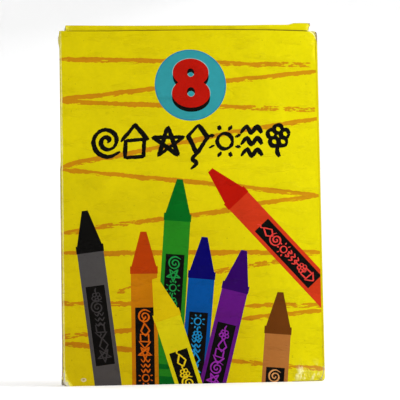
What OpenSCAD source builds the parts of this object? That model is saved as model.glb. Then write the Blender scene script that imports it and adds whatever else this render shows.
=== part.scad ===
// Carton of eight wax crayons: a tuck-end paperboard box with one row of wrapped crayons.
// The box stands on the lower edges of its front and back, with the front facing -Y.
// The origin is the centre of the footprint, on the surface that the box stands on.

/* [Carton] */
// Outside width
box_w = 70; // [69.5:0.5:76]
// Outside depth, from front to back
box_d = 11.5; // [11.5:0.1:13]
// Outside height, with the lid closed
box_h = 96; // [95.5:0.5:104]
// Thickness of the paperboard
board = 0.5; // [0.4:0.05:0.5]
// Length of the tuck flaps at the top and the bottom
tuck_len = 12; // [9:0.5:14]
// Radius of a tuck flap's free corners
tuck_corner_r = 5; // [2:0.5:8]
// Length of the dust flaps
dust_len = 15; // [10:0.5:15]
// How far the dust flaps lie inside the lid and the bottom
dust_drop = 1.4; // [1.4:0.1:1.8]
// How far the lid stands in from each side of the carton
lid_inset = 1.7; // [1:0.1:2.4]
// How far the bottom panel stands in from each side of the carton
bottom_inset = 0.7; // [0.5:0.1:1.5]

/* [Crayons] */
// Length of a crayon
crayon_len = 90; // [70:1:90]
// Outside diameter of a wrapped crayon
crayon_d = 8; // [7:0.1:8]
// Distance between the axes of neighbouring crayons
crayon_pitch = 8.4; // [8.3:0.05:8.4]
// Length of the cone
cone_len = 11; // [8:0.5:14]
// Diameter of the flat end of the cone
tip_d = 1.8; // [1:0.1:3]
// Thickness of the paper wrapper
paper = 0.14; // [0.1:0.02:0.2]

/* [Hidden] */
$fn = 96;

// Clearance between board faces that lie against each other
gap = 0.05;
half_w = box_w / 2;
half_d = box_d / 2;

// Inner faces of the front and the back, which mirror each other
inner_y = half_d - board;

// Heights of the folds at the top
front_top = box_h - dust_drop;
side_top = front_top - board - gap;
back_top = box_h - board - gap;

// Heights of the folds at the bottom
dust_floor = dust_drop + board;
side_bottom = dust_floor + gap;

// Distance from a main fold to the board that it closes on, for the lid and for the bottom
lid_reach = half_d + inner_y - gap;
bottom_reach = 2 * inner_y - gap;

// A dust flap's edge beside the main fold: straight at first, then tapering away
dust_fold_gap = 0.6;
dust_straight = 2.5;
dust_taper = 0.42;
dust_corner = 1.2;
// The length of the shoulder at the crease, which clears the tuck flap's edge
dust_shoulder = 2;
// How far the tuck flap's edges stand in from those of its panel
tuck_inset = 0.7;

// The glue flap's margins from the top and bottom of the side that it is glued to
glue_margin = 1;

// The crayons' row, moved over by half the glue flap's thickness
row_shift = -board / 2;
crayon_low = board + gap;
crayon_high = dust_floor + gap;

// The wax stick, which the paper goes round with a little clearance
paper_gap = 0.01;
wax_r = crayon_d / 2 - paper - paper_gap;
shoulder_step = 0.4;
foot_round = 0.5;
tip_round = 0.3;
// The wrapper leaves the foot and a collar at the shoulder bare
wrapper_foot = 3.5;
wrapper_collar = 2.2;
// How far a cutting shape runs past the face that it cuts
overshoot = 1;

yellow_board = [0.90, 0.85, 0.05];
grey_board = [0.74, 0.72, 0.66];

// Wax colours, from left to right in the box
BLACK = [0.08, 0.08, 0.08];
ORANGE = [0.86, 0.40, 0.05];
YELLOW = [0.93, 0.80, 0.08];
GREEN = [0.05, 0.45, 0.16];
BLUE = [0.05, 0.12, 0.55];
PURPLE = [0.30, 0.06, 0.45];
BROWN = [0.42, 0.22, 0.08];
RED = [0.78, 0.12, 0.06];

// A block between two opposite corners
module block(low, high) {
    translate(low) cube(high - low);
}

// ---- The sleeve: four walls and the flap that glues them into a tube ----

module front_panel() {
    color(yellow_board)
        block([-half_w, -half_d, 0], [half_w, -inner_y, front_top]);
}

module back_panel() {
    color(yellow_board)
        block([-half_w, inner_y, 0], [half_w, half_d, back_top]);
}

module side_panel() {
    color(yellow_board)
        block([-half_w, -inner_y, side_bottom], [-half_w + board, inner_y, side_top]);
}

module left_side_panel() {
    side_panel();
}

module right_side_panel() {
    mirror([1, 0, 0]) side_panel();
}

// Runs in from the back's right edge and lies against the right side
module glue_flap() {
    color(grey_board)
        block([half_w - 2 * board, -inner_y + glue_margin / 2, side_bottom + glue_margin],
              [half_w - board, inner_y, side_top - glue_margin]);
}

// ---- The closures: a main panel with a tuck flap, over two dust flaps ----

// A tuck flap from above: x across, y away from its fold, with its free corners rounded
module tuck_outline(width) {
    r = tuck_corner_r;
    translate([-width / 2, 0]) square([width, tuck_len - r]);
    translate([r - width / 2, 0]) square([width - 2 * r, tuck_len]);
    for (side = [-1, 1])
        translate([side * (width / 2 - r), tuck_len - r]) circle(r);
}

// A dust flap: x away from its crease, y away from the main panel's fold
module dust_outline(reach) {
    tuck_side = reach - board - 2 * gap;
    tip_edge = dust_fold_gap + dust_taper * (dust_len - dust_straight);
    polygon([
        [0, dust_fold_gap], [dust_straight, dust_fold_gap], [dust_len, tip_edge],
        [dust_len, tuck_side - dust_corner], [dust_len - dust_corner, tuck_side],
        [dust_shoulder + board, tuck_side], [dust_shoulder, reach], [0, reach]
    ]);
}

module lid_panel() {
    edge = half_w - lid_inset;
    color(yellow_board)
        block([-edge, -inner_y + gap, box_h - board], [edge, half_d, box_h]);
}

module lid_tuck_flap() {
    color(grey_board)
        translate([0, -inner_y + gap, back_top])
            rotate([-90, 0, 0])
                linear_extrude(board) tuck_outline(2 * (half_w - lid_inset - tuck_inset));
}

module top_left_dust_flap() {
    color(grey_board)
        translate([-half_w, half_d, side_top + gap])
            mirror([0, 1, 0]) linear_extrude(board) dust_outline(lid_reach);
}

module top_right_dust_flap() {
    mirror([1, 0, 0]) top_left_dust_flap();
}

module bottom_panel() {
    edge = half_w - bottom_inset;
    color(yellow_board)
        block([-edge, -inner_y + gap, 0], [edge, inner_y - gap, board]);
}

module bottom_tuck_flap() {
    color(grey_board)
        translate([0, inner_y - gap, board + gap])
            rotate([90, 0, 0])
                linear_extrude(board) tuck_outline(2 * (half_w - lid_inset - tuck_inset));
}

module bottom_left_dust_flap() {
    color(grey_board)
        translate([-half_w, -inner_y, dust_drop])
            linear_extrude(board) dust_outline(bottom_reach);
}

module bottom_right_dust_flap() {
    mirror([1, 0, 0]) bottom_left_dust_flap();
}

// ---- The crayons, one row of eight ----

// The crayon's place in the row, counted from 0 at the left
function crayon_x(i) = (i - 3.5) * crayon_pitch + row_shift;

// The outer two at each end stand on a dust flap, and the others on the bottom panel
function crayon_z(i) = i < 2 || i > 5 ? crayon_high : crayon_low;

module in_row(i) {
    translate([crayon_x(i), 0, crayon_z(i)]) children();
}

// A moulded stick: a rounded foot, a straight body, a stepped shoulder and a blunt cone
module wax_stick(i, wax) {
    body_top = crayon_len - cone_len;
    foot_arc = [for (a = [0:15:90]) [wax_r - foot_round * (1 - sin(a)), foot_round * (1 - cos(a))]];
    tip_r = tip_d / 2;
    tip_arc = [for (a = [0:15:90])
        [tip_r - tip_round * (1 - cos(a)), crayon_len - tip_round * (1 - sin(a))]];
    color(wax)
        in_row(i)
            rotate_extrude()
                polygon(concat([[0, 0]], foot_arc,
                    [[wax_r, body_top], [wax_r - shoulder_step, body_top + shoulder_step / 2]],
                    tip_arc, [[0, crayon_len]]));
}

// A paper tube, open at both ends
module wrapper(i, tint) {
    height = crayon_len - cone_len - wrapper_foot - wrapper_collar;
    color(tint)
        in_row(i)
            translate([0, 0, wrapper_foot])
                difference() {
                    cylinder(h = height, d = crayon_d);
                    translate([0, 0, -overshoot])
                        cylinder(h = height + 2 * overshoot, r = crayon_d / 2 - paper);
                }
}

// The paper is printed in a paler tint of its crayon's wax
function paler(wax) = [for (c = wax) 0.65 * c + 0.3];

front_panel();
back_panel();
left_side_panel();
right_side_panel();
glue_flap();
lid_panel();
lid_tuck_flap();
top_left_dust_flap();
top_right_dust_flap();
bottom_panel();
bottom_tuck_flap();
bottom_left_dust_flap();
bottom_right_dust_flap();
wax_stick(0, BLACK);  // black_crayon
wrapper(0, paler(BLACK));  // black_wrapper
wax_stick(1, ORANGE);  // orange_crayon
wrapper(1, paler(ORANGE));  // orange_wrapper
wax_stick(2, YELLOW);  // yellow_crayon
wrapper(2, paler(YELLOW));  // yellow_wrapper
wax_stick(3, GREEN);  // green_crayon
wrapper(3, paler(GREEN));  // green_wrapper
wax_stick(4, BLUE);  // blue_crayon
wrapper(4, paler(BLUE));  // blue_wrapper
wax_stick(5, PURPLE);  // purple_crayon
wrapper(5, paler(PURPLE));  // purple_wrapper
wax_stick(6, BROWN);  // brown_crayon
wrapper(6, paler(BROWN));  // brown_wrapper
wax_stick(7, RED);  // red_crayon
wrapper(7, paler(RED));  // red_wrapper
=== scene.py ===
"""A carton of eight wax crayons: printed board, wax sticks and paper wrappers, round the CAD frame.

Sheets of board and paper are drawn flat in millimetres, u across and v up, then folded into place.
"""

import math
import random

import bpy
import numpy as np
from mathutils import Matrix, Vector
from mathutils.geometry import delaunay_2d_cdt


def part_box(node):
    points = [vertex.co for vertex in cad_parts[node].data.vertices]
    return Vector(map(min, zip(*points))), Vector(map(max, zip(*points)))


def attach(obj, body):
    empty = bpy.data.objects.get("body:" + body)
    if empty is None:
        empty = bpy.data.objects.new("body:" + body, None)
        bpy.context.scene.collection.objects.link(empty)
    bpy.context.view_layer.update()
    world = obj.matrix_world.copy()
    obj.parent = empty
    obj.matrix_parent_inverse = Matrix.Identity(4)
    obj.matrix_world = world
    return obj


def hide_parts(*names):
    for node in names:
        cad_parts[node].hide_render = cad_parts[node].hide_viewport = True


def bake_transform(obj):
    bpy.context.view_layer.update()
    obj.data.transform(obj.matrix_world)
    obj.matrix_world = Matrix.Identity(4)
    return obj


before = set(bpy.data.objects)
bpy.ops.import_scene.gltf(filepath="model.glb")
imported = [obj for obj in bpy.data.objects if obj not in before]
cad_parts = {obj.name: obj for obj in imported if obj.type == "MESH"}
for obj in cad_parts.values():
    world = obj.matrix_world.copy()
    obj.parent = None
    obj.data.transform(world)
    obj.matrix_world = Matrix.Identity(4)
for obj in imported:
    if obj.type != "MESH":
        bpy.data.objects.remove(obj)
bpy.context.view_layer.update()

MM = 0.001
X, Y, Z = Vector((1, 0, 0)), Vector((0, 1, 0)), Vector((0, 0, 1))


def mm(x, y, z):
    """A point in metres from millimetres."""
    return Vector((x, y, z)) * MM


# ---- sizes, from the frame


def box_mm(node):
    """A node's lowest and highest corners, in millimetres."""
    return [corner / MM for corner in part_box(node)]


front_low, front_high = box_mm("front_panel")
back_high = box_mm("back_panel")[1]
side_low, side_high = box_mm("left_side_panel")
lid_high = box_mm("lid_panel")[1]
tuck_low, tuck_high = box_mm("lid_tuck_flap")
bottom_high = box_mm("bottom_panel")[1]
foot_tuck_high = box_mm("bottom_tuck_flap")[1]

HALF_W = front_high.x
FRONT_Y = front_low.y
BACK_Y = back_high.y
FRONT_TOP = front_high.z
BOX_TOP = lid_high.z
BOARD = front_high.y - front_low.y
# The fold that the glue flap hangs on, inside the right side
GLUE_FOLD_X = HALF_W - BOARD

# Outer radius of the carton's vertical folds, and of the folds that the flaps turn on
CORNER_R = 0.6
CREASE_R = 0.6
CORNER_ARC = CORNER_R * math.pi / 2
# How far a panel ends short of its crease's corner
CREASE_LEG = 1.0

CRAYONS = ["black", "orange", "yellow", "green", "blue", "purple", "brown", "red"]


# ---- colours


def srgb(code):
    """A linear colour from a six-digit sRGB code."""
    channels = [int(code[i : i + 2], 16) / 255 for i in (0, 2, 4)]
    return tuple(c / 12.92 if c <= 0.04045 else ((c + 0.055) / 1.055) ** 2.4 for c in channels)


CARTON = srgb("E6D900")
STRIPE = srgb("D0910A")
DISC = srgb("33A0AA")
DISC_RIM = srgb("2E8FAC")
HALO = srgb("8CC6C6")
NUMERAL = srgb("BE1404")
INK_BLACK = srgb("0A0906")
BOARD_WHITE = srgb("CFC9B8")
BOARD_INSIDE = srgb("C9C2B0")
BOARD_EDGE = srgb("A89D86")
SCUFF = srgb("F0EAB4")
# Pale folds: rubbed board, with a painted highlight along them
FOLD_PALE_AND_HIGHLIGHT = srgb("FBF7A8")
# Painted shade down the front's right fold
RIGHT_FOLD_PAINTED_SHADE = srgb("CFC000")
# A painted shadow line along the front's top edge, under the lid's fold
TOP_GAP_PAINTED_SHADOW = srgb("75680C")
GAP_PALE = srgb("BDB156")
TORN_BROWN = srgb("6B5230")

# Wax, drawn body, drawn label's line: one row per crayon
INKS = {
    "black": (srgb("0B0B08"), srgb("525354"), srgb("3C3C3E")),
    "orange": (srgb("BE4200"), srgb("D38602"), srgb("E8720A")),
    "yellow": (srgb("ECD800"), srgb("EEEC08"), srgb("FFE81A")),
    "green": (srgb("006F1C"), srgb("26911D"), srgb("1FA34A")),
    "blue": (srgb("05006E"), srgb("0058B0"), srgb("1E9FE8")),
    "purple": (srgb("330068"), srgb("65148A"), srgb("A030C0")),
    "brown": (srgb("6C390A"), srgb("B37236"), srgb("E0A060")),
    "red": (srgb("BC1200"), srgb("D23816"), srgb("E8423A")),
}

# ---- flat drawing


def ellipse(cx, cy, rx, ry, steps=48):
    """Points round an ellipse."""
    turns = [2 * math.pi * i / steps for i in range(steps)]
    return [(cx + rx * math.cos(t), cy + ry * math.sin(t)) for t in turns]


def resample(points, step):
    """The same path with a point about every step."""
    path = [points[0]]
    for (x0, y0), (x1, y1) in zip(points, points[1:]):
        count = max(1, round(math.hypot(x1 - x0, y1 - y0) / step))
        for i in range(1, count + 1):
            path.append((x0 + (x1 - x0) * i / count, y0 + (y1 - y0) * i / count))
    return path


def catmull_rom(p, q, r, s, t):
    """One coordinate, at a share t of the way from q to r."""
    square, cube = 2 * p - 5 * q + 4 * r - s, 3 * q - p - 3 * r + s
    return 0.5 * (2 * q + (r - p) * t + square * t * t + cube * t**3)


def smooth_path(points, step):
    """A smooth curve through the points, with a point about every step."""
    ends = [points[0]] + list(points) + [points[-1]]
    path = [points[0]]
    for four in zip(ends, ends[1:], ends[2:], ends[3:]):
        count = max(1, round(math.dist(four[1], four[2]) / step))
        for i in range(1, count + 1):
            path.append(tuple(catmull_rom(*axis, i / count) for axis in zip(*four)))
    return path


def ribbon(path, left, right=None):
    """The outline of a stroke along a path, from its half-widths on its two sides."""
    lefts, rights = [], []
    for i, ((x, y), a, b) in enumerate(zip(path, left, right or left)):
        x0, y0 = path[max(i - 1, 0)]
        x1, y1 = path[min(i + 1, len(path) - 1)]
        length = math.hypot(x1 - x0, y1 - y0) or 1
        nx, ny = -(y1 - y0) / length, (x1 - x0) / length
        lefts.append((x + nx * a, y + ny * a))
        rights.append((x - nx * b, y - ny * b))
    return rights + lefts[::-1]


def rough(rng, count, width, tremor, drift):
    """Half-widths that wander slowly and tremble at each step."""
    values, wander = [], 0.0
    for _ in range(count):
        wander = 0.85 * wander + rng.uniform(-drift, drift)
        values.append(max(0.04, width / 2 + wander + rng.uniform(-tremor, tremor)))
    return values


def thin_ends(half, count, first, last):
    """Thins a stroke's ends. first and last are the share kept at the very end, and its gain per step."""
    for k in range(min(count, len(half) // 2)):
        half[k] *= first[0] + first[1] * k
        half[-1 - k] *= last[0] + last[1] * k


# A wax line's width, the step along it, and how it thins at its ends
WAX_WIDTH = 1.3
WAX_STEP = 0.4
WAX_END = (0.15, 0.11)


def chalk_line(rng, points):
    """A wax-crayon line with a ragged lower edge: its outline, and those of the bites out of it."""
    path = resample(points, WAX_STEP)
    n = len(path)
    upper, lower = rough(rng, n, WAX_WIDTH, 0.07, 0.05), rough(rng, n, WAX_WIDTH, 0.13, 0.11)
    for half in (upper, lower):
        thin_ends(half, 8, WAX_END, WAX_END)
    bites = []
    for _ in range(n // 7):
        start = rng.randrange(n - 2)
        stretch = path[start : start + rng.randint(3, 8)]
        if len(stretch) > 2:
            offset = rng.choice((-0.5, -0.46, -0.4, -0.32, -0.15, 0.45)) * WAX_WIDTH
            thin = rng.uniform(0.05, 0.16)
            moved = [(x, y + offset + rng.uniform(-0.05, 0.05)) for x, y in stretch]
            turns = [math.pi * (i + 0.4) / len(moved) for i in range(len(moved))]
            bites.append(ribbon(moved, [thin * math.sin(t) + 0.01 for t in turns]))
    return ribbon(path, upper, lower), bites


def dry_line(rng, points):
    """The same line pressed lightly: loose strands with gaps."""
    path = resample(points, WAX_STEP)
    strands = []
    for lane in range(5):
        offset = (lane / 4 - 0.5) * WAX_WIDTH * 0.8
        i = rng.randint(0, 3)
        while i < len(path) - 3:
            run = path[i : i + rng.randint(5, 14)]
            if len(run) > 2:
                moved = [(x, y + offset + rng.uniform(-0.06, 0.06)) for x, y in run]
                half = [rng.uniform(0.06, 0.24) for _ in moved]
                half[0] = half[-1] = 0.02
                strands.append(ribbon(moved, half))
            i += len(run) + rng.randint(-1, 4)
    return strands


# Where the wax lines run across the front: pressed firmly, or lightly
FIRM_LINES = [
    [(-36, 86.8), (-22, 86.6), (-10, 86.4), (10, 85.8), (18, 85.4), (24, 85.7)],
    [(-36, 75.9), (-22, 77.3), (-14, 78.4), (10, 81), (22, 82.2), (36, 83.8)],
    [(-36, 75.6), (-22, 74.8), (-10, 74.4), (16, 73.7)],
    [(-36, 57.5), (-30, 59.2), (-18, 61.2), (-8, 63), (10, 66.8), (26, 69.3), (36, 71)],
    [(-36, 57.3), (-26, 56.2), (-10, 54.7), (2, 53.4), (18, 51.7), (28, 50.5), (36, 49.5)],
    [(-36, 40), (-24, 41.9)],
    [(-15, 43), (-10, 43.6), (6, 45.5), (18, 47.8), (28, 48.9), (36, 50)],
    [(-36, 35), (-14, 34.8), (14, 34.7), (36, 34.4)],
    [(-33, 21.7), (-22, 21.5), (-8, 21.1)],
    [(13, 20.3), (20, 20.5)],
    [(-29, 13.5), (-18, 14.4), (0, 15.9)],
    [(12, 16.9), (26, 18.1), (36, 18.9)],
    [(-36, 11.3), (-30, 10.8), (-18, 9.4), (10, 5.8), (16, 5)],
    [(25, 4.1), (36, 3.1)],
]
LIGHT_LINES = [
    [(21, 85.6), (33, 85.3)],
    [(13, 73.8), (24, 73.4)],
    [(25, 73.4), (34, 73)],
    [(-26, 41.7), (-13, 43.2)],
    [(-20.6, 24.4), (-16.4, 25.6)],
    [(5, 29.4), (14, 31), (25, 32.4)],
    [(-36, 21.8), (-31, 21.7)],
    [(18, 20.5), (36, 20.2)],
    [(-36, 12.9), (-26, 13.8)],
    [(14, 5.3), (27, 3.9)],
]


def wax_lines(seed, firm, light=()):
    """The carton's orange wax lines as layers."""
    rng = random.Random(seed)
    layers = []
    for points in firm:
        band, bites = chalk_line(rng, points)
        layers += [(STRIPE, band)] + [(CARTON, bite) for bite in bites]
    for points in light:
        layers += [(STRIPE, strand) for strand in dry_line(rng, points)]
    return layers


def polar(cx, cy, points):
    """Points given as (angle in degrees, distance) round a centre."""
    turned = [(math.radians(a), r) for a, r in points]
    return [(cx + r * math.cos(t), cy + r * math.sin(t)) for t, r in turned]


def ring(cx, cy, r, steps=12):
    return polar(cx, cy, [(360 * i / steps, r) for i in range(steps + 1)])


# The step along a brush stroke
BRUSH_STEP = 0.35
# Doodles about one unit in half-height: strokes as (curved, points)
DOODLES = {
    "spiral": [(True, polar(0, 0, [(-40 + 45 * i, 0.09 + 0.055 * i) for i in range(17)]))],
    "house": [(False, [(-0.6, -0.95), (-0.55, 0.05), (0.55, 0.12), (0.5, -0.9), (-0.65, -0.95)]),
              (False, [(-0.8, 0), (0, 1), (0.8, 0.08)])],
    "star": [(False, polar(0, -0.05, [(90 + 144 * i, 0.95) for i in range(6)]))],
    "kite": [(False, [(0.1, 1), (0.66, 0.22), (0, -0.76), (-0.5, 0.3), (0.1, 1)]),
             (True, [(0, -0.7), (-0.27, -1.05), (-0.05, -1.32), (-0.35, -1.65)])],
    "sun": [(True, ring(0, 0, 0.46))]
           + [(False, polar(0, 0, [(22 + 45 * i, 0.72), (22 + 45 * i, 1)])) for i in range(8)],
    "waves": [(True, [(-0.62 + 0.31 * i, row + (0.2 if i % 2 else -0.2)) for i in range(5)])
              for row in (-0.68, 0, 0.68)],
    "flower": [(True, ring(*polar(0, 0.3, [(90 + 72 * i, 0.42)])[0], 0.26, 6)) for i in range(5)]
              + [(True, [(0, -0.2), (-0.1, -0.6), (0.05, -0.95)])],
}


def doodle(rng, name, cx, cy, size, width):
    """A doodle painted with a loaded brush: each stroke is two rough passes that don't quite meet."""
    strokes = []
    for curved, shape in DOODLES[name]:
        points = [(cx + size * x, cy + size * y) for x, y in shape]
        path = (smooth_path if curved else resample)(points, BRUSH_STEP)
        for shift in (-0.16, 0.2):
            moved = [(x + shift * width, y + shift * 0.6 * width) for x, y in path]
            half = rough(rng, len(path), width * 0.72, 0.05 * width, 0.04 * width)
            thin_ends(half, 3, (0.5, 0.17), (0.45, 0.18))
            strokes.append(ribbon(moved, half))
    return strokes


def label_marks(rng, length, half):
    """A row of small doodles down a label: t across it and s along it."""
    names = rng.sample(sorted(DOODLES), 6)
    margin = 0.8
    step = (length - 2 * margin) / len(names)
    marks = []
    for i, name in enumerate(names):
        along = margin + step * (i + 0.5)
        marks += doodle(rng, name, rng.uniform(-0.15, 0.15), along, half * 0.78, half * 0.15)
    return marks


# A drawn crayon, from its tip down: where each part ends, and its half-width
CONE_END = 9.2
COLLAR_END = 11.2
LABEL_SPAN = (20.1, 41.1)
BANDS = ((49.3, 50.6), (52.5, 55.2))
CRAYON_END = 56
TIP_HALF = 0.8
CONE_HALF = 3.3
COLLAR_HALF = 3.68
BODY_HALF = 3.52
LABEL_HALF = 2.5


def drawn_crayon(colour, tip, tilt, seed, size=1.0, depth=1.0):
    """A crayon drawn on the board, leaning by tilt degrees, positive with its foot to the right.

    A depth below 1 deepens its inks.
    """
    wax, body, line = INKS[colour]
    wax, body = (tuple(c * depth for c in ink) for ink in (wax, body))
    rng = random.Random(seed)
    c, s = math.cos(math.radians(tilt)), math.sin(math.radians(tilt))

    def at(t, down):
        return (tip[0] + size * (t * c + down * s), tip[1] + size * (t * s - down * c))

    def strip(start, end, half, half_end=None):
        wide = half_end or half
        return [at(t, d) for t, d in ((-half, start), (-wide, end), (wide, end), (half, start))]

    layers = [
        (body, strip(COLLAR_END - 0.1, CRAYON_END, BODY_HALF)),
        (wax, strip(0, CONE_END, TIP_HALF, CONE_HALF)),
        (wax, strip(CONE_END, COLLAR_END, COLLAR_HALF)),
        (INK_BLACK, strip(*LABEL_SPAN, LABEL_HALF)),
    ]
    layers += [(wax, strip(*band, BODY_HALF)) for band in BANDS]
    for quad in label_marks(rng, LABEL_SPAN[1] - LABEL_SPAN[0], LABEL_HALF):
        layers.append((line, [at(t, LABEL_SPAN[0] + d) for t, d in quad]))
    return layers


# The drawn crayons from the back of the picture to the front: tip, and lean in degrees
DRAWN = [
    ("green", (-3.3, 54.4), -4.5),
    ("orange", (-13.3, 40.5), 0),
    ("blue", (3.1, 38.9), -5.5),
    ("purple", (13.7, 35.2), -14.5),
    ("brown", (23.3, 23.9), -5),
    ("red", (4.9, 56.8), 42.5),
    ("black", (-28.8, 46.2), 7),
    ("yellow", (-10.4, 28), 17),
]

# ---- the numeral and the doodles

# The disc's height and radius, and its radius with the dark rim round it
DISC_V = 79.8
DISC_R = 9.3
RIM_R = 9.65
# The numeral's rings: centre height, radii, the hole's radii, and how far it sits above the centre
RINGS = [(83.2, 4.85, 3.8, 0.97, 1.14, 0), (77.6, 5.15, 3.9, 1.1, 1.28, 0.35)]
NUMERAL_U = 0.1
HALO_WIDTH = 0.16
SHADOW_DROP = 1.15
SHADOW_STEPS = 6


def lens(cx, cy, rx, ry, drop):
    """The part of an ellipse that its own copy, moved down by drop, also covers."""
    reach = rx * math.sqrt(1 - (drop / 2 / ry) ** 2)
    xs = [reach * (i / 8 - 1) for i in range(17)]
    rises = [ry * math.sqrt(max(0, 1 - (x / rx) ** 2)) for x in xs]
    low = [(cx + x, cy - rise) for x, rise in zip(xs, rises)]
    high = [(cx + x, cy - drop + rise) for x, rise in zip(xs, rises)]
    return low + high[-2:0:-1]


def numeral():
    """A figure eight of two stacked rings on a disc, with a dropped shadow."""
    layers = [(DISC_RIM, ellipse(0, DISC_V, RIM_R, RIM_R, 96)), (DISC, ellipse(0, DISC_V, DISC_R, DISC_R, 96))]

    def rings(ink, drop=0.0, extra=0.0):
        for v, ru, rv, *_ in RINGS:
            layers.append((ink, ellipse(NUMERAL_U, v - drop, ru + extra, rv + extra)))

    rings(HALO, extra=HALO_WIDTH)
    for step in range(1, SHADOW_STEPS + 1):
        rings(INK_BLACK, SHADOW_DROP * step / SHADOW_STEPS)
    rings(NUMERAL)
    # Through each hole: the shadow's inner edge, a pale line, and the disc
    for v, _, _, hu, hv, lift in RINGS:
        layers.append((INK_BLACK, ellipse(NUMERAL_U, v + lift, hu, hv, 32)))
        layers.append((HALO, lens(NUMERAL_U, v + lift, hu, hv, SHADOW_DROP * 0.9)))
        layers.append((DISC, lens(NUMERAL_U, v + lift + 0.1, hu - 0.12, hv, SHADOW_DROP)))
    return layers


# The row of doodles where a carton has its title: where each stands across the front
TITLE_ROW = [("spiral", -22.7), ("house", -15.2), ("star", -6.3), ("kite", 1.4), ("sun", 9),
             ("waves", 16.3), ("flower", 23.6)]
TITLE_V = 64.6
TITLE_SIZE = 4.5
TITLE_BRUSH = 1.15


def title_row(seed):
    rng = random.Random(seed)
    return [(INK_BLACK, stroke) for name, u in TITLE_ROW
            for stroke in doodle(rng, name, u, TITLE_V, TITLE_SIZE, TITLE_BRUSH)]


# ---- sheets of board and paper


def covered(shape, x, y):
    """Which of the points lie inside a closed shape, by its winding number round them."""
    winding = np.zeros(len(x), dtype=int)
    for (x0, y0), (x1, y1) in zip(shape, shape[1:] + shape[:1]):
        left = (x1 - x0) * (y - y0) - (x - x0) * (y1 - y0)
        winding += (y0 <= y) & (y1 > y) & (left > 0)
        winding -= (y0 > y) & (y1 <= y) & (left < 0)
    return winding != 0


def sheet_mesh(name, outline, layers, place, thickness, columns=(), rows=(), grid=2.5,
               backing=BOARD_INSIDE, wear=None, film_and_glare=None, face=CARTON, edge=BOARD_EDGE):
    """A printed sheet as a closed mesh: a flat drawing triangulated, folded by place(u, v, depth), and backed.

    layers are (colour, closed shape) from the back of the drawing to its front. columns and rows are
    values of u and v that get a line of vertices, so that a fold there stays crisp. wear(u, v) and
    film(u, v) run from 0 to 1.
    """
    # Points all along the outline, so that wear at a corner stays at the corner
    outline = resample(outline + outline[:1], grid)[:-1]
    points, edges = [], []
    for shape in [outline] + [shape for _, shape in layers]:
        first, count = len(points), len(shape)
        points += shape
        edges += [(first + i, first + (i + 1) % count) for i in range(count)]
    us, vs = [p[0] for p in outline], [p[1] for p in outline]
    u0, u1, v0, v1 = min(us), max(us), min(vs), max(vs)
    for line in [[(u, v0), (u, v1)] for u in columns] + [[(u0, v), (u1, v)] for v in rows]:
        path = resample(line, grid)
        edges += [(len(points) + i, len(points) + i + 1) for i in range(len(path) - 1)]
        points += path
    for i in range(1, int((u1 - u0) / grid)):
        for j in range(1, int((v1 - v0) / grid)):
            points.append((u0 + grid * (i + 0.5 * (j % 2)), v0 + grid * j))
    # Output type 0 keeps every triangle, and points closer than the 1e-3 become one
    flat, _, triangles, *_ = delaunay_2d_cdt([Vector(p) for p in points], edges, [], 0, 1e-3, False)

    where = np.array([tuple(p) for p in flat])
    corners = np.array(triangles)
    x, y = where[corners].mean(axis=1).T
    inside = covered(outline, x, y)
    corners, x, y = corners[inside], x[inside], y[inside]
    top = np.full(len(x), -1)
    for layer, (_, shape) in enumerate(layers):
        low, high = np.min(shape, axis=0), np.max(shape, axis=0)
        near = np.flatnonzero((x > low[0]) & (x < high[0]) & (y > low[1]) & (y < high[1]))
        top[near[covered(shape, x[near], y[near])]] = layer

    used, corners = np.unique(corners, return_inverse=True)
    flat = where[used].tolist()
    corners = corners.reshape(-1, 3).tolist()
    n = len(flat)
    vertices = [place(u, v, 0.0) for u, v in flat] + [place(u, v, thickness) for u, v in flat]
    polygons, inks, slots = [], [], []
    sides = set()
    for (a, b, c), layer in zip(corners, top):
        polygons += [(a, b, c), (n + c, n + b, n + a)]
        inks += [layers[layer][0] if layer >= 0 else face, backing]
        slots += [0, 1]
        sides |= {(a, b), (b, c), (c, a)}
    rim = sorted(pair for pair in sides if (pair[1], pair[0]) not in sides)
    for a, b in rim:
        polygons.append((b, a, n + a, n + b))
        inks.append(edge)
        slots.append(1)

    mesh = bpy.data.meshes.new(name)
    mesh.from_pydata(vertices, [], polygons)
    mesh.polygons.foreach_set("material_index", slots)
    mesh.polygons.foreach_set("use_smooth", [True] * len(polygons))
    ink = mesh.attributes.new("ink", "FLOAT_COLOR", "CORNER")
    colours = []
    for polygon, colour in zip(mesh.polygons, inks):
        colours += [*colour, 1.0] * polygon.loop_total
    ink.data.foreach_set("color", colours)
    for key, amount in (("wear", wear), ("film_and_glare", film_and_glare)):
        values = [amount(u, v) if amount else 0.0 for u, v in flat]
        mesh.attributes.new(key, "FLOAT", "POINT").data.foreach_set("value", values + values)
    sharp = {frozenset(pair) for pair in rim} | {frozenset((n + a, n + b)) for a, b in rim}
    marks = mesh.attributes.new("sharp_edge", "BOOLEAN", "EDGE")
    marks.data.foreach_set("value", [frozenset(e.vertices) in sharp for e in mesh.edges])
    mesh.validate()
    mesh.update()
    return mesh


def add(name, mesh, materials, body=None, replaces=()):
    """A piece from its mesh, riding on a body."""
    piece = bpy.data.objects.new(name, mesh)
    bpy.context.scene.collection.objects.link(piece)
    for material in materials:
        mesh.materials.append(material)
    if body:
        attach(piece, body)
    if replaces:
        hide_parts(*replaces)
    return piece


def rectangle(u0, v0, u1, v1):
    return [(u0, v0), (u1, v0), (u1, v1), (u0, v1)]


def round_corners(corners, radii, steps=6):
    """A polygon whose corners are rounded, each with its own radius."""
    outline = []
    count = len(corners)
    for i, r in enumerate(radii):
        here = Vector(corners[i])
        before = (Vector(corners[i - 1]) - here).normalized()
        after = (Vector(corners[(i + 1) % count]) - here).normalized()
        if r == 0:
            outline.append(tuple(here))
            continue
        half = before.angle(after) / 2
        centre = here + (before + after).normalized() * r / math.sin(half)
        start = here + before * r / math.tan(half) - centre
        end = here + after * r / math.tan(half) - centre
        turn = start.angle_signed(end)
        for k in range(steps + 1):
            outline.append(tuple(centre + Matrix.Rotation(-turn * k / steps, 2) @ start))
    return outline


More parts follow.
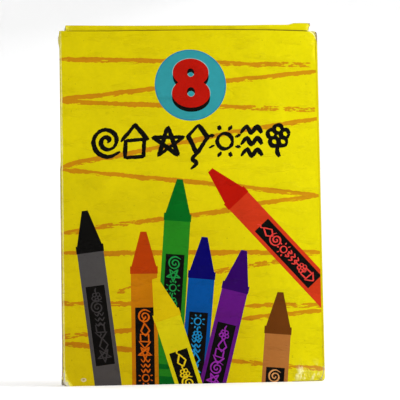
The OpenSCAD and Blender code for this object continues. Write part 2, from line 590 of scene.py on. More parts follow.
def fold_round(s, flat_end, radius, depth):
    """How far along and how far in, on a sheet that folds back a quarter turn after flat_end."""
    over = s - flat_end
    if over <= 0:
        return s, depth
    angle = min(over / radius, math.pi / 2)
    along = flat_end + (radius - depth) * math.sin(angle)
    inward = radius - (radius - depth) * math.cos(angle)
    return along, inward + over - radius * angle


def smoothstep(low, high, x):
    t = min(max((x - low) / (high - low), 0.0), 1.0)
    return t * t * (3 - 2 * t)


# ---- materials


class Graph:
    """A material's node tree, with short calls for the nodes that this file uses."""

    def __init__(self, name):
        self.material = bpy.data.materials.new(name)
        self.material.use_nodes = True
        self.tree = self.material.node_tree
        self.shader = self.tree.nodes["Principled BSDF"]
        # The piece's own coordinates, in millimetres
        self.where = self.new("TexCoord").outputs["Object"]
        self.where = self.stretch(1 / MM, 1 / MM, 1 / MM)

    def put(self, socket, value):
        """Links a socket, or sets it."""
        if isinstance(value, bpy.types.NodeSocket):
            self.tree.links.new(value, socket)
        else:
            socket.default_value = (*value, 1.0) if socket.type == "RGBA" else value

    def new(self, kind, inputs=(), **settings):
        """A node with its settings, and with its inputs in order or by name."""
        made = self.tree.nodes.new("ShaderNode" + kind)
        for key, value in settings.items():
            setattr(made, key, value)
        for key, value in inputs.items() if isinstance(inputs, dict) else enumerate(inputs):
            self.put(made.inputs[key], value)
        return made

    def stretch(self, *factors):
        return self.new("VectorMath", (self.where, factors), operation="MULTIPLY").outputs[0]

    def noise(self, scale, detail=3.0, roughness=0.5, stretch=None):
        where = self.stretch(*stretch) if stretch else self.where
        inputs = {"Vector": where, "Scale": scale, "Detail": detail, "Roughness": roughness}
        return self.new("TexNoise", inputs).outputs["Fac"]

    def remap(self, value, low, high, to_low=0.0, to_high=1.0):
        return self.new("MapRange", (value, low, high, to_low, to_high)).outputs[0]

    def plus(self, a, b):
        return self.new("Math", (a, b), operation="ADD").outputs[0]

    def times(self, a, b):
        return self.new("Math", (a, b), operation="MULTIPLY").outputs[0]

    def mix(self, fac, a, b, blend="MIX"):
        return self.new("Mix", {0: fac, 6: a, 7: b}, data_type="RGBA", blend_type=blend).outputs[2]

    def attribute(self, name, output="Fac"):
        return self.new("Attribute", attribute_name=name).outputs[output]

    def bump(self, height, distance, normal=None, invert=False):
        inputs = {"Height": height, "Distance": distance * MM}
        if normal:
            inputs["Normal"] = normal
        return self.new("Bump", inputs, invert=invert).outputs["Normal"]

    def inked(self, shade):
        """The sheet's printed colour, times a shade."""
        return self.mix(1.0, self.attribute("ink", "Color"), shade, "MULTIPLY")

    def ragged_wear(self, scale, detail, roughness, spread):
        """The sheet's wear, with its edge broken up by noise."""
        wear = self.attribute("wear")
        wander = self.remap(self.noise(scale, detail, roughness), 0.25, 0.75, -spread, spread)
        return self.plus(wear, self.times(wander, self.remap(wear, 0.0, 0.3)))

    def finish(self, **values):
        for key, value in values.items():
            self.put(self.shader.inputs[key.replace("_", " ")], value)
        return self.material


def printed_board():
    """Coated board with a varnished print, which wears through to pale board at folds and corners."""
    g = Graph("printed_board")
    cloud = g.remap(g.noise(0.10, 5, 0.6), 0.3, 0.7, 0.75, 0.835)
    mottle = g.remap(g.noise(0.9, 6, 0.65), 0.3, 0.7, -0.035, 0.03)
    grain = g.remap(g.noise(7.0, 3, 0.6), 0.2, 0.8, -0.04, 0.04)
    colour = g.inked(g.plus(g.plus(cloud, mottle), grain))
    speck = g.remap(g.noise(1.7, 2, 0.4), 0.70, 0.76)
    colour = g.mix(g.times(speck, 0.30), colour, (0.0, 0.0, 0.0))
    smudge = g.remap(g.noise(0.34, 3, 0.5), 0.68, 0.78)
    colour = g.mix(g.times(smudge, 0.35), colour, (0.66, 0.62, 0.5), "MULTIPLY")

    # Painted shade: the left side is darker, and most of all its lower half, as if lit from the upper right
    across, _, up = g.new("SeparateXYZ", (g.where,)).outputs
    low = g.times(g.remap(across, 33, 12), g.remap(up, 60, 10))
    painted_shade = g.plus(g.remap(across, 25, -5, 0.0, 0.38), g.times(low, 0.42))
    colour = g.mix(painted_shade, colour, (0.70, 0.56, 0.50), "MULTIPLY")

    ragged = g.ragged_wear(1.5, 6, 0.75, 0.45)
    worn = g.remap(ragged, 0.52, 0.62)
    rubbed = g.times(g.remap(ragged, 0.12, 0.45), 0.65)
    fibre = g.mix(g.noise(2.2, 5, 0.7, (1, 1, 0.3)), srgb("A89E86"), srgb("F2EEDF"))
    colour = g.mix(worn, g.mix(rubbed, colour, srgb("F6EE62")), fibre)

    # The film has lifted in places: crinkled and glossy, with painted highlights of pale glare where it
    # crinkles
    film_and_glare = g.attribute("film_and_glare")
    crinkle = g.noise(0.62, 4, 0.55, (1, 1, 0.55))
    painted_glare = g.times(g.remap(crinkle, 0.50, 0.62), film_and_glare)
    colour = g.mix(g.times(painted_glare, 0.9), colour, srgb("FDFAC4"))

    wrinkle = g.remap(g.noise(0.30, 4, 0.55, (0.35, 1, 1.2)), 0.54, 0.62)
    colour = g.mix(g.times(wrinkle, 0.4), colour, (0.88, 0.86, 0.80), "MULTIPLY")
    gloss = g.remap(g.noise(0.5, 5, 0.6), 0.3, 0.7, 0.26, 0.40)
    normal = g.bump(g.noise(0.085, 2, 0.4), 0.9)
    normal = g.bump(wrinkle, 0.10, normal)
    normal = g.bump(g.noise(1.6, 4, 0.6), 0.02, normal)
    lifted = g.bump(g.times(crinkle, film_and_glare), 0.9, normal)
    return g.finish(
        Base_Color=colour, Roughness=g.plus(gloss, g.times(worn, 0.4)), Specular_IOR_Level=0.04,
        Normal=g.bump(g.times(worn, g.noise(5, 4, 0.7)), 0.12, lifted),
        Coat_Weight=g.times(film_and_glare, 0.8), Coat_Roughness=0.12, Coat_Normal=lifted,
    )


def raw_board():
    """Uncoated board: grey-white fibres, with darker threads in them."""
    g = Graph("raw_board")
    colour = g.inked(g.remap(g.noise(0.8, 6, 0.7), 0.3, 0.7, 0.86, 1.06))
    thread = g.remap(g.noise(3.0, 2, 0.5, (1.4, 1.4, 0.35)), 0.66, 0.72)
    colour = g.mix(g.times(thread, 0.35), colour, srgb("7C705A"))
    return g.finish(Base_Color=colour, Roughness=0.88, Normal=g.bump(g.noise(4.5, 5, 0.7), 0.05))


def wrapper_paper():
    """Thin printed paper, matt, creased a little and rubbed at its edges."""
    g = Graph("wrapper_paper")
    colour = g.inked(g.remap(g.noise(2.2, 6, 0.7), 0.3, 0.7, 0.90, 1.06))
    worn = g.remap(g.ragged_wear(1.8, 5, 0.7, 0.4), 0.5, 0.62, 0.0, 0.75)
    colour = g.mix(worn, colour, srgb("D9D2BE"))
    smear = g.remap(g.noise(0.7, 4, 0.6, (1, 1, 0.25)), 0.55, 0.75, 0.0, 0.22)
    colour = g.mix(smear, colour, srgb("6A6258"))
    wrinkle = g.bump(g.noise(0.45, 3, 0.5, (1, 1, 0.4)), 0.12)
    return g.finish(
        Base_Color=colour, Roughness=g.remap(g.noise(1.2, 4), 0.3, 0.7, 0.5, 0.68),
        Normal=g.bump(g.noise(6, 4, 0.6), 0.02, wrinkle),
    )


def wax(colour):
    """Moulded wax: a soft sheen, a pale bloom, drag marks along the stick and small nicks."""
    g = Graph(colour + "_wax")
    body = INKS[colour][0]
    deep = tuple(c * 0.72 for c in body)
    pale = tuple(0.85 * c + 0.07 for c in body)
    drag = g.noise(1.1, 5, 0.6, (3.0, 3.0, 0.22))
    bloom = g.remap(g.noise(0.32, 5, 0.65), 0.48, 0.76, 0.0, 0.6)
    tone = g.mix(bloom, g.mix(g.remap(drag, 0.3, 0.7), deep, body), pale)
    nick = g.remap(g.noise(1.9, 3, 0.55), 0.66, 0.74)
    return g.finish(
        Base_Color=g.mix(g.times(nick, 0.5), tone, deep), Roughness=g.remap(bloom, 0.0, 0.6, 0.34, 0.55),
        Normal=g.bump(drag, 0.05, g.bump(nick, 0.10, invert=True)),
        Subsurface_Weight=0.12, Subsurface_Scale=0.0015,
    )


# ---- the sleeve


def front_top(u):
    """The front's cut top edge runs a little uphill, and its right corner is knocked off."""
    return FRONT_TOP - 0.15 + 0.65 * smoothstep(-32, 14, u) - 0.2 * smoothstep(20, 33, u)


def front_wear(u, v):
    """Folds rub pale, and the bottom left corner wears through."""
    left, right = u + HALF_W, HALF_W - u
    on_front = smoothstep(-0.1, 0.2, left)
    fold = 0.28 * smoothstep(0.75, 0.35, left) * on_front + 0.05 * smoothstep(0.8, 0.2, abs(right))
    strip = 0.9 * smoothstep(4.4, 3.0, v) * smoothstep(0.8, 0.45, left) * on_front
    cut_corner = 0.9 * smoothstep(1.6, 1.2, left + v)
    bottom = 0.02 * smoothstep(0.3, 0.0, v)
    bottom_right = 0.3 * smoothstep(2.0, 0.9, right + v)
    return min(1.0, max(fold + bottom, strip, cut_corner, bottom_right))


def front_film_and_glare(u, v):
    """The film has lifted above the bottom right corner, and the same mask places painted highlights there."""
    across = smoothstep(25.5, 29, u) * smoothstep(35.2, 34.2, u)
    return across * smoothstep(5.2, 2.2, v) * smoothstep(0.0, 0.6, v)


def wall_bow(u, v, height):
    """A wall's bow: 0 near its folds and 1 at its middle."""
    return math.cos(math.pi * u / (2 * HALF_W + 4)) * math.sin(math.pi * min(max(v / height, 0), 1))


def front_relief(u, v):
    """How far in from flat the front lies: a slight bow, a bent top corner and a crinkled bottom one."""
    bow = -0.22 * wall_bow(u, v, FRONT_TOP)
    corner = 0.14 * max((u - 31.4) * 0.72 + (v - 92.6) * 0.70, 0.0)
    near = smoothstep(9.0, 2.0, math.hypot(HALF_W - u, v + 1))
    crinkle = near * (0.06 * math.sin(2.1 * u + 0.7 * v) + 0.04 * math.sin(4.3 * u + 2.9 * v))
    edge = smoothstep(0.0, 1.2, HALF_W - abs(u))
    crushed = 0.16 * smoothstep(0.35, 0.0, front_top(u) - v)
    return (bow + crinkle) * edge + corner + crushed


def edge_marks():
    """The front's edges: pale folds with a painted highlight, painted shade down the right fold, a painted
    shadow line along the top edge, dark cut edges, and the creases of its top right corner.
    """
    rng = random.Random(3)
    fold = resample([(-34.62, 0.8), (-34.58, 40), (-34.62, 94.6)], 0.6)
    top = [(u, front_top(u)) for u in range(-33, 34, 3)]
    bend = smooth_path([(32.2, 94.9), (33.5, 94.3), (34.3, 93.4), (34.6, 92.5)], 0.3)
    crack = smooth_path([(32.6, 94.95), (33.4, 94.75), (34.1, 94.2), (34.5, 93.3), (34.8, 92.0)], 0.3)
    hem = smooth_path([(34.5, 4.0), (34.45, 2.2), (33.9, 0.9), (32.8, 0.14), (26, 0.1)], 0.4)
    return [
        # Pale left fold: rubbed board and a painted highlight
        (FOLD_PALE_AND_HIGHLIGHT, ribbon(fold, *(rough(rng, len(fold), width, 0.05, 0.03) for width in (0.28, 0.26)))),
        # Painted shade down the right fold
        (RIGHT_FOLD_PAINTED_SHADE, rectangle(34.3, 4, 36, 95)),
        # Painted shadow line along the top edge, under the lid's fold
        (TOP_GAP_PAINTED_SHADOW, ribbon(top, [0.2] * len(top), [0.14 + 0.008 * i for i in range(len(top))])),
        (TORN_BROWN, [(34.9, 91.2), (36, 90.6), (36, 95.5), (33.8, 95.5), (34.4, 94.4), (34.7, 93.2)]),
        # The bent top right corner and its crease: whitish fibre with a painted highlight
        (FOLD_PALE_AND_HIGHLIGHT, [(33.5, 94.7), (34.4, 93.6), (34.62, 93.8), (34.2, 94.4)]),
        (FOLD_PALE_AND_HIGHLIGHT, ribbon(bend, [0.10 + 0.03 * (i % 3) for i in range(len(bend))])),
        (TORN_BROWN, ribbon(crack, [0.05 + 0.03 * (i % 2) for i in range(len(crack))])),
        (BOARD_EDGE, ribbon(hem, [0.09] * len(hem))),
    ]


def place_front(u, v, depth):
    x, inward = fold_round(abs(u), HALF_W - CORNER_R, CORNER_R, depth)
    return mm(math.copysign(x, u), FRONT_Y + inward + front_relief(u, v), v)


def left_pressed(v):
    """How far the carton's back left fold is pressed in: most in its upper half, and not at the flaps."""
    return (0.2 + 0.35 * smoothstep(58, 62, v)) * smoothstep(1, 5, v) * smoothstep(93.5, 91, v)


def place_back(u, v, depth):
    """Seen from behind, so u runs towards -X. The left end is the fold that the glue flap hangs on."""
    end = HALF_W if u > 0 else GLUE_FOLD_X
    x, inward = fold_round(abs(u), end - CORNER_R, CORNER_R, depth)
    pressed = left_pressed(v) * max(u, 0) / end
    return mm(pressed - math.copysign(x, u), BACK_Y - inward + 0.15 * wall_bow(u, v, BOX_TOP), v)


def fold_columns(flat_end, steps=6):
    """Values of u through a quarter-turn fold."""
    return [flat_end + CORNER_ARC * i / steps for i in range(steps)]


def front_wall(board):
    reach = HALF_W - CORNER_R + CORNER_ARC
    art = wax_lines(11, FIRM_LINES, LIGHT_LINES)
    for i, (colour, tip, tilt) in enumerate(DRAWN):
        art += drawn_crayon(colour, tip, tilt, 40 + i)
    art += numeral() + title_row(5) + edge_marks()
    # A pale dot near the bottom left corner
    art.append((SCUFF, ellipse(-29.6, 1.6, 0.72, 0.52, 20)))
    art.append((GAP_PALE, ellipse(-29.6, 1.65, 0.34, 0.22, 12)))
    folds = fold_columns(HALF_W - CORNER_R)
    top = [(u, front_top(u)) for u in range(32, -36, -4)]
    corners = [(-33.9, 0), (reach, 0), (reach, front_top(reach) - 0.4), *top,
               (-reach, front_top(-reach)), (-reach, 1.4)]
    radii = [0.3, 1.7, 1.3] + [0] * len(top) + [0.2, 0.3]
    mesh = sheet_mesh("front_wall", round_corners(corners, radii), art, place_front, BOARD,
                      columns=folds + [-u for u in folds], wear=front_wear, film_and_glare=front_film_and_glare, grid=1.6)
    add("front_wall", mesh, board, "sleeve", ["front_panel"])


def back_wear(u, v):
    ends = min(abs(HALF_W - u), abs(GLUE_FOLD_X + u))
    corner = min(math.hypot(ends, v), math.hypot(ends, back_high.z - v))
    fold = 0.14 * smoothstep(0.8, 0.1, ends)
    return max(fold, 0.8 * smoothstep(1.8, 0.4, corner), 0.03 * smoothstep(0.4, 0, v))


def lines_across(*ends, start=-36, end=36):
    """Straight lines from start to end, each given by its v at the two."""
    return [[(start, v), (end, w)] for v, w in ends]


def back_art():
    """Wax lines, and the eight crayons drawn upright in a row."""
    firm = lines_across((88, 85.5), (73.5, 77.4), (59.5, 56), (36, 38.2), (22, 19.4), (6, 9.2))
    art = wax_lines(23, firm, lines_across((66, 67), (29, 28)))
    leans = (-1.5, 1.0, -0.6, 1.4, -1.1, 0.7, -1.4, 1.2)
    for i, (colour, lean) in enumerate(zip(CRAYONS, leans)):
        # The yellow crayon is printed deeper here, where only the yellow board is behind it
        depth = 0.78 if colour == "yellow" else 1.0
        tip = (-28.4 + 8.1 * i, 75 + 1.2 * math.sin(2.3 * i))
        art += drawn_crayon(colour, tip, lean, 60 + i, depth=depth)
    return art


def back_wall(board):
    top = back_high.z - (CREASE_LEG - BOARD)
    left = GLUE_FOLD_X - CORNER_R + CORNER_ARC
    right = HALF_W - CORNER_R + CORNER_ARC
    folds = fold_columns(HALF_W - CORNER_R) + [-u for u in fold_columns(GLUE_FOLD_X - CORNER_R)]
    outline = round_corners(rectangle(-left, 0, right, top), [0.6, 0.6, 0.9, 0.9], 4)
    mesh = sheet_mesh("back_wall", outline, back_art(), place_back, BOARD, columns=folds,
                      wear=back_wear, grid=1.8)
    add("back_wall", mesh, board, "sleeve", ["back_panel"])


# Where the tip of the crayon drawn on each side comes
SIDE_TIP_V = 59.5


def side_wall(board, side, end_y):
    """A side, from the front's fold to end_y: side is -1 on the left and 1 on the right."""
    name = "left" if side < 0 else "right"
    start_y = FRONT_Y + CORNER_R
    span = abs(end_y - start_y)
    low, high = side_low.z + (CREASE_LEG - BOARD), side_high.z - (CREASE_LEG - BOARD)

    def place(u, v, depth):
        """Seen from outside: u runs back from the front's fold on the right, and forward on the left."""
        if side > 0:
            y = start_y + u
            inward = 0.12 * math.sin(math.pi * v / BOX_TOP) * math.sin(math.pi * u / span)
        else:
            y = start_y + span - u
            inward = left_pressed(v) * (1 - u / span)
        return mm(side * (HALF_W - depth - inward), y, v)

    def wear(u, v):
        fold = min(u, span - u)
        # The right side's back edge is a cut one
        cut = 0.4 * smoothstep(0.4, 0.1, span - u) if side > 0 else 0.0
        corner = 0.5 * smoothstep(1.8, 0.4, min(v - low, high - v) + fold)
        return max(0.08 * smoothstep(0.6, 0.0, fold), cut, corner)

    art = wax_lines(31 + side, lines_across((86, 84), (71, 73.5), (12, 9), start=-1, end=14))
    if side < 0:
        # A large dark brown crayon: print chosen dark to stand in as painted shade over the side's lower part
        art += drawn_crayon("brown", (span / 2 + 0.2, SIDE_TIP_V), 0.5, 80, 1.35)
    else:
        art += drawn_crayon("blue", (span / 2, SIDE_TIP_V), 0.8, 82)
    mesh = sheet_mesh(name + "_wall", rectangle(0, low, span, high), art, place, BOARD, wear=wear, grid=1.8)
    add(name + "_wall", mesh, board, "sleeve", [name + "_side_panel"])


def glue_flap(board):
    low, high = box_mm("glue_flap")

    def place(u, v, depth):
        return mm(high.x - depth, u, v)

    end, slant = BACK_Y - CORNER_R, 3
    outline = [(low.y, low.z + slant), (end, low.z), (end, high.z), (low.y, high.z - slant)]
    mesh = sheet_mesh("glue_flap_board", outline, [], place, high.x - low.x, grid=3, face=BOARD_WHITE)
    add("glue_flap_board", mesh, [board[1], board[1]], "sleeve", ["glue_flap"])


# ---- flaps and their creases


def flap(board, body, node, outline, place, art, wear=None):
    """A rigid printed flap: its flat outline in its own u and v, set in place by place."""
    name = body + "_board"
    mesh = sheet_mesh(name, outline, art, place, BOARD, wear=wear, grid=1.8)
    add(name, mesh, board, body, [node])


def crease(board, name, corner, first, second, across, width, far_face=None, wear_amount=0.3,
           lift=None, outline=None, far_leg=CREASE_LEG, marks=()):
    """The fold between two panels: board that leaves one along first and reaches the other along second.

    corner is where the two outer faces would meet. first points from it back along the first panel, second
    along the second panel, and across is the fold's own direction.
    """
    straight = CREASE_LEG - CREASE_R
    arc = CREASE_R * math.pi / 2
    total = straight + arc + far_leg - CREASE_R
    corner = Vector(corner)
    centre_of_arc = corner + (first + second) * CREASE_R

    def place(u, v, depth):
        if v < straight:
            point = corner + first * (CREASE_LEG - v) + second * depth
        elif v > straight + arc:
            point = corner + second * (CREASE_R + v - straight - arc) + first * depth
        else:
            angle = (v - straight) / CREASE_R
            outward = -second * math.cos(angle) - first * math.sin(angle)
            point = centre_of_arc + outward * (CREASE_R - depth)
        return (point + across * u + Z * (lift(u) if lift else 0.0)) * MM

    def wear(u, v):
        ends = 0.25 * smoothstep(3.0, 0.3, width / 2 - abs(u))
        return wear_amount * smoothstep(0.8, 0.0, abs(v - straight - arc / 2)) + ends

    rows = [straight + arc * i / 8 for i in range(9)]
    far = [(far_face, rectangle(-width, straight + arc, width, total + 1))] if far_face else []
    outline = outline or rectangle(-width / 2, 0, width / 2, total)
    mesh = sheet_mesh(name, outline, far + list(marks), place, BOARD, rows=rows, wear=wear, grid=1.5)
    strip = add(name, mesh, board)
    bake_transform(strip)


def lid_skew(u):
    """The lid sits a little high at the right."""
    slope = 0.22 * smoothstep(-20, 8, u) + 0.26 * smoothstep(8, 27, u)
    return 0.10 + slope + 0.5 * smoothstep(27.2, 29, u)


# How much of a tuck flap is printed before its bare board begins
TUCK_PRINTED = 4.5
TUCK_BARE = [(BOARD_WHITE, rectangle(-40, TUCK_PRINTED, 40, 20))]


def tuck_outline(width, length, radius=5):
    return round_corners(rectangle(-width / 2, 0, width / 2, length), [0, 0, radius, radius], 8)


def lid(board):
    half = lid_high.x
    fold_y = tuck_low.y
    length = BACK_Y - fold_y - 2 * CREASE_LEG

    def place_lid(u, v, depth):
        """Seen from above, with v running back from the front fold."""
        bow = 0.10 * math.sin(math.pi * (v + CREASE_LEG) / (length + 2 * CREASE_LEG))
        share = 1 - v / length
        return mm(u, fold_y + CREASE_LEG + v, BOX_TOP - depth + bow + lid_skew(u) * share)

    def lid_wear(u, v):
        ends = half - abs(u)
        return max(0.4 * smoothstep(0.6, 0.0, ends), 0.25 * smoothstep(0.8, 0.0, v))

    art = wax_lines(51, lines_across((2.5, 5.2), (7.6, 6.9)))
    flap(board, "lid", "lid_panel", rectangle(-half, 0, half, length), place_lid, art, lid_wear)

    # The strip of the front crease reaches down to leg, inside the front. Its end is rounded to 0.01 mm
    leg = 2.4
    strip_end = round(CREASE_LEG + leg - 2 * CREASE_R + CREASE_R * math.pi / 2, 2)
    top = BOX_TOP - leg
    tuck_half = tuck_high.x
    tuck_len = top - tuck_low.z

    def place_tuck(u, v, depth):
        """Seen from the front, with v running down from the crease."""
        lean = 0.25 * math.sin(math.pi * v / tuck_len)
        return mm(-u, fold_y + depth + lean, top - v + lid_skew(-u))

    def tuck_wear(_, v):
        return 0.3 * smoothstep(1.0, 0.0, tuck_len - v)

    flap(board, "lid_tuck", "lid_tuck_flap", tuck_outline(2 * tuck_half, tuck_len), place_tuck,
         TUCK_BARE, tuck_wear)
    crease(board, "lid_crease", (0, BACK_Y, BOX_TOP), -Z, -Y, -X, 2 * half)
    # The fold's right end is torn, and u runs to the left here
    tears = [(0.9, 0), (1.3, 0.3), (0.9, 0.5), (1.0, 0.8), (0.3, 1.0), (0.5, 1.25), (0.1, 1.5), (0.5, 2.0)]
    torn = [(-half + u, v) for u, v in tears] + [(-tuck_half, strip_end)]
    strip = torn[::-1] + [(half, 0), (half, 2.5), (tuck_half, 2.8), (tuck_half, strip_end)]
    crease(board, "lid_tuck_crease", (0, fold_y, BOX_TOP), Y, -Z, -X, 2 * half,
           wear_amount=0.0, lift=lambda u: lid_skew(-u), outline=strip, far_leg=leg,
           marks=[(TORN_BROWN, ribbon(torn, [0.14] * len(torn)))])


def bottom(board):
    half = bottom_high.x
    fold_y = foot_tuck_high.y
    hinge_y = FRONT_Y + BOARD
    length = fold_y - hinge_y - 2 * CREASE_LEG

    def place_bottom(u, v, depth):
        """Seen from below, with v running forward from the back fold."""
        return mm(u, fold_y - CREASE_LEG - v, depth)

    art = wax_lines(57, lines_across((3.5, 1.8)))
    flap(board, "bottom", "bottom_panel", rectangle(-half, 0, half, length), place_bottom, art)

    tuck_half = foot_tuck_high.x
    tuck_len = foot_tuck_high.z - CREASE_LEG

    def place_tuck(u, v, depth):
        """Seen from behind, with v running up from the crease."""
        return mm(-u, fold_y - depth, CREASE_LEG + v)

    outline = tuck_outline(2 * tuck_half, tuck_len)
    flap(board, "bottom_tuck", "bottom_tuck_flap", outline, place_tuck, TUCK_BARE)
    crease(board, "bottom_crease", (0, hinge_y, 0), Z, Y, -X, 2 * half)
    crease(board, "bottom_tuck_crease", (0, fold_y, 0), -Y, Z, -X, 2 * tuck_half)


def dust_flaps(board):
    """The four flaps on the sides' ends. They follow the CAD flaps' outlines beyond the crease."""
    # As in the CAD: the straight part beside the fold, the taper after it, and the tip's cut corner
    straight, taper, cut = 2.5, 0.42, 1.2
    # The room left on the tuck flap's side
    tuck_room = 0.6
    for end in ("top", "bottom"):
        low, high = box_mm(end + "_left_dust_flap")
        top = end == "top"
        # Into the carton along z, and also from the main panel's fold towards its tuck flap along y
        inward = -1 if top else 1
        outside_z, fold, tuck = (high.z, high.y, low.y) if top else (low.z, low.y, high.y)
        tuck -= inward * tuck_room
        reach = high.x - low.x
        # The top flaps spring up towards the lid, and the crayons hold the bottom ones flat
        spring = 0.65 if top else 0.0
        corners = [(CREASE_LEG, fold), (straight, fold), (reach, fold + inward * taper * (reach - straight)),
                   (reach, tuck - inward * cut), (reach - cut, tuck), (straight, tuck), (CREASE_LEG, tuck)]
        outline = round_corners(corners, [0, 0.8, 1.5, 0.8, 0.8, 0, 0], 4)
        for side in (-1, 1):
            name = f"{end}_{'left' if side < 0 else 'right'}_dust"

            def place(u, v, depth):
                bulge = spring * smoothstep(CREASE_LEG, 0.6 * reach, u)
                return mm(side * (HALF_W - u), v, outside_z + inward * (depth - bulge))

            mesh = sheet_mesh(name + "_board", outline, [], place, BOARD, grid=1.8, face=BOARD_WHITE)
            # Two of the four come out with their outside facing in
            if (side > 0) == top:
                mesh.flip_normals()
            add(name + "_board", mesh, [board[1], board[1]], name, [name + "_flap"])
            corner = (side * HALF_W, (fold + tuck) / 2, outside_z)
            crease(board, name + "_crease", corner, Z * inward, -X * side,
                   Y * side * -inward, abs(fold - tuck), far_face=BOARD_WHITE)


# ---- the crayons


def lathe(name, profile, centre, segments=72):
    """A turned solid from (radius, height) points in millimetres. The ends close on the axis."""
    vertices = [centre + Z * profile[0][1] * MM]
    for radius, height in profile[1:-1]:
        for k in range(segments):
            a = 2 * math.pi * k / segments
            vertices.append(centre + mm(radius * math.cos(a), radius * math.sin(a), height))
    vertices.append(centre + Z * profile[-1][1] * MM)
    rings = len(profile) - 2
    last = len(vertices) - 1
    polygons = []
    for k in range(segments):
        after = (k + 1) % segments
        polygons.append((0, 1 + after, 1 + k))
        polygons.append((last, 1 + (rings - 1) * segments + k, 1 + (rings - 1) * segments + after))
        for ring in range(rings - 1):
            a, b = 1 + ring * segments, 1 + (ring + 1) * segments
            polygons.append((a + k, a + after, b + after, b + k))
    mesh = bpy.data.meshes.new(name)
    mesh.from_pydata(vertices, [], polygons)
    mesh.polygons.foreach_set("use_smooth", [True] * len(polygons))
    mesh.update()
    return mesh


def arc_points(cx, cy, r, start, end, steps=5):
    """Points on an arc, from start to end degrees."""
    turns = [math.radians(start + (end - start) * i / steps) for i in range(steps + 1)]
    return [(cx + r * math.cos(t), cy + r * math.sin(t)) for t in turns]


# The parts of a stick, as in the CAD: its cone's length, its tip's radius, and the step at its shoulder
CONE_LEN = 11
TIP_R = 0.9
SHOULDER_STEP = 0.42


def stick(colour, index):
    """A moulded wax stick: a rounded foot with a dish in it, a straight body, a stepped shoulder and a cone."""
    low, high = box_mm(colour + "_crayon")
    radius = (high.x - low.x) / 2
    length = high.z - low.z
    shoulder = length - CONE_LEN
    neck = radius - SHOULDER_STEP
    profile = [(0, 0.25), (2.2, 0.22), (2.6, 0.05), *arc_points(radius - 0.5, 0.5, 0.5, -90, 0)]
    profile += [(radius, z) for z in (2, 3, 20, 40, 60, shoulder - 3)]
    profile += arc_points(radius - 0.15, shoulder - 0.15, 0.15, 0, 90, 3)
    profile += [(radius - 0.38, shoulder + 0.02), (neck, shoulder + 0.12)]
    for share in (0.15, 0.35, 0.55, 0.75, 0.9):
        profile.append((neck + (TIP_R - radius + SHOULDER_STEP) * share, shoulder + CONE_LEN * share))
    profile += arc_points(TIP_R - 0.42, length - 0.45, 0.45, 12, 90, 5) + [(0, length)]
    centre = Vector(((low.x + high.x) / 2, (low.y + high.y) / 2, low.z)) * MM
    mesh = lathe(colour + "_stick", profile, centre)

    # The point is worn to a slanting face
    rng = random.Random(900 + index)
    lean = Vector((rng.uniform(-1, 1), rng.uniform(-1, 0.2), 0)).normalized()
    cut = length - rng.uniform(0.15, 0.9)
    for vertex in mesh.vertices:
        local = (vertex.co - centre) / MM
        limit = cut + 0.5 * local.dot(lean)
        if local.z > limit:
            vertex.co.z = centre.z + limit * MM
    add(colour + "_stick", mesh, [wax(colour)], colour, [colour + "_crayon"])


# A wrapper's paper and its lap, and the labels on it: half-width, and the room above and below them
SHEET = 0.14
LAP = 2.2
LABEL_WIDE = 3.1
LABEL_MARGIN = 14


def wrapper(colour, index, paper):
    """The paper round a crayon: one printed sheet rolled round the stick, lapped at the back."""
    low, high = box_mm(colour + "_wrapper")
    radius = (high.x - low.x) / 2
    height = high.z - low.z
    centre = Vector(((low.x + high.x) / 2, (low.y + high.y) / 2, low.z))
    wax_ink, tint, line = INKS[colour]
    around = 2 * math.pi * radius
    end = around + LAP
    rng = random.Random(700 + index)

    def place(u, v, depth):
        """u runs to the right as the front is read, from just before the seam and once round."""
        angle = math.pi / 2 + u / radius
        rise = SHEET * smoothstep(around - 1.6, around - 0.1, u)
        r = radius + rise - depth
        loose = 0.05 * smoothstep(end - 1.0, end, u)
        return (centre + Vector(((r + loose) * math.cos(angle), (r + loose) * math.sin(angle), v))) * MM

    def wear(u, v):
        return max(0.55 * smoothstep(0.9, 0.0, min(v, height - v)), 0.6 * smoothstep(0.4, 0.0, end - u))

    rings = ((0.9, 2.4), (3.2, 4.0), (height - 4.0, height - 3.2), (height - 2.4, height - 0.9))
    art = [(wax_ink, rectangle(-1, v0, 40, v1)) for v0, v1 in rings]
    label_top = height - LABEL_MARGIN
    row_len = (height - 2 * LABEL_MARGIN) / 2
    for middle in (around / 2, 0.5):
        label = rectangle(middle - LABEL_WIDE, LABEL_MARGIN, middle + LABEL_WIDE, label_top)
        art.append((INK_BLACK, round_corners(label, [0.5] * 4, 3)))
        for row in range(2):
            for stroke in label_marks(rng, row_len, LABEL_WIDE):
                art.append((line, [(middle + t, label_top - row * row_len - d) for t, d in stroke]))
    art.append((INK_BLACK, rectangle(around - 2.6, LABEL_MARGIN, around + 3.6, label_top)))
    columns = [around * i / 60 for i in range(1, 66) if around * i / 60 < end - 0.1]
    mesh = sheet_mesh(colour + "_paper", rectangle(0, 0, end, height), art, place, SHEET, columns=columns,
                      wear=wear, grid=3.0, face=tint, backing=BOARD_WHITE, edge=BOARD_WHITE)
    add(colour + "_paper", mesh, [paper, paper], colour, [colour + "_wrapper"])


# ---- stage, light and camera


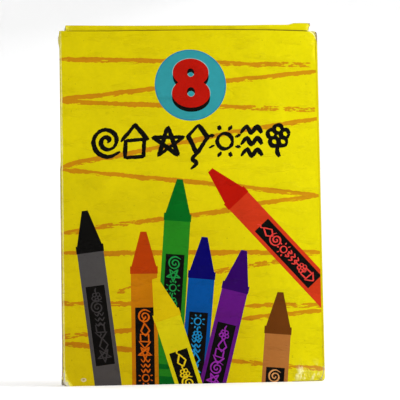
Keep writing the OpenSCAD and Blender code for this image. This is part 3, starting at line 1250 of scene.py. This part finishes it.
def stage():
    """A pale floor that curves up all round into a low wall."""
    g = Graph("studio_floor")
    tone = g.mix(g.noise(0.02, 2), srgb("F4F4F4"), srgb("F8F8F8"))
    white = (1.0, 1.0, 1.0)
    material = g.finish(Base_Color=tone, Roughness=0.9, Emission_Color=white, Emission_Strength=0.2)
    # The floor's reach, the height of the wall round it and the bend between them, in metres
    reach, rise, bend = 1.4, 0.9, 0.5
    profile = [(r, 0.0) for r in (0.05, 0.2, 0.5, reach - bend)]
    profile += arc_points(reach - bend, bend, bend, -90, 0, 12)[1:] + [(reach, rise)]
    segments = 96
    turns = [2 * math.pi * k / segments for k in range(segments)]
    vertices = [(0, 0, 0)] + [(r * math.cos(t), r * math.sin(t), z) for r, z in profile for t in turns]
    polygons = []
    for k in range(segments):
        after = (k + 1) % segments
        polygons.append((0, 1 + k, 1 + after))
        for a in range(1, 1 + (len(profile) - 1) * segments, segments):
            polygons.append((a + k, a + segments + k, a + segments + after, a + after))
    mesh = bpy.data.meshes.new("studio_floor")
    mesh.from_pydata(vertices, [], polygons)
    mesh.polygons.foreach_set("use_smooth", [True] * len(polygons))
    mesh.materials.append(material)
    floor = bpy.data.objects.new("studio_floor", mesh)
    bpy.context.scene.collection.objects.link(floor)


def area_light(name, place, size, power):
    """A soft light, turned towards the middle of the box."""
    data = bpy.data.lights.new(name, "AREA")
    data.size = size
    data.energy = power
    light = bpy.data.objects.new(name, data)
    light.location = place
    light.rotation_euler = (Vector((0, 0, 0.045)) - Vector(place)).to_track_quat("-Z", "Y").to_euler()
    bpy.context.scene.collection.objects.link(light)


def lights():
    area_light("key", (0.55, -0.65, 0.6), 0.7, 2.8)
    area_light("rake", (0.30, -0.15, 0.27), 0.15, 0.8)
    area_light("fill", (-0.9, -0.8, 0.5), 0.9, 0.2)
    area_light("top", (0.0, 0.3, 1.2), 1.0, 3)
    area_light("back", (-0.2, 1.0, 0.8), 0.9, 4)
    world = bpy.data.worlds.new("studio")
    world.use_nodes = True
    background = world.node_tree.nodes["Background"].inputs
    background["Color"].default_value = (1, 1, 1, 1)
    background["Strength"].default_value = 0.25
    bpy.context.scene.world = world
    bpy.context.scene.view_settings.view_transform = "Standard"


def camera():
    """Low and a little to the left, square to the front, with a long lens."""
    azimuth, elevation, roll = (math.radians(a) for a in (-7.0, -4.5, -1.0))
    distance = 0.451
    target = Vector((0.0, 0.0, 0.048))
    level = math.cos(elevation)
    away = Vector((math.sin(azimuth) * level, -math.cos(azimuth) * level, math.sin(elevation)))
    data = bpy.data.cameras.new("camera")
    data.lens = 150
    data.sensor_width = 36
    data.clip_start = 0.01
    cam = bpy.data.objects.new("camera", data)
    turn = (-away).to_track_quat("-Z", "Y").to_matrix() @ Matrix.Rotation(roll, 3, "Z")
    shift = turn @ Vector((0.0027, 0.0013, 0))
    cam.matrix_world = Matrix.Translation(target + away * distance + shift) @ turn.to_4x4()
    bpy.context.scene.collection.objects.link(cam)
    bpy.context.scene.camera = cam


# ---- build


camera()
board = [printed_board(), raw_board()]
paper = wrapper_paper()
front_wall(board)
back_wall(board)
side_wall(board, -1, BACK_Y - CORNER_R)
side_wall(board, 1, BACK_Y - 0.1)
glue_flap(board)
lid(board)
bottom(board)
dust_flaps(board)
for i, colour in enumerate(CRAYONS):
    stick(colour, i)
    wrapper(colour, i, paper)
stage()
lights()
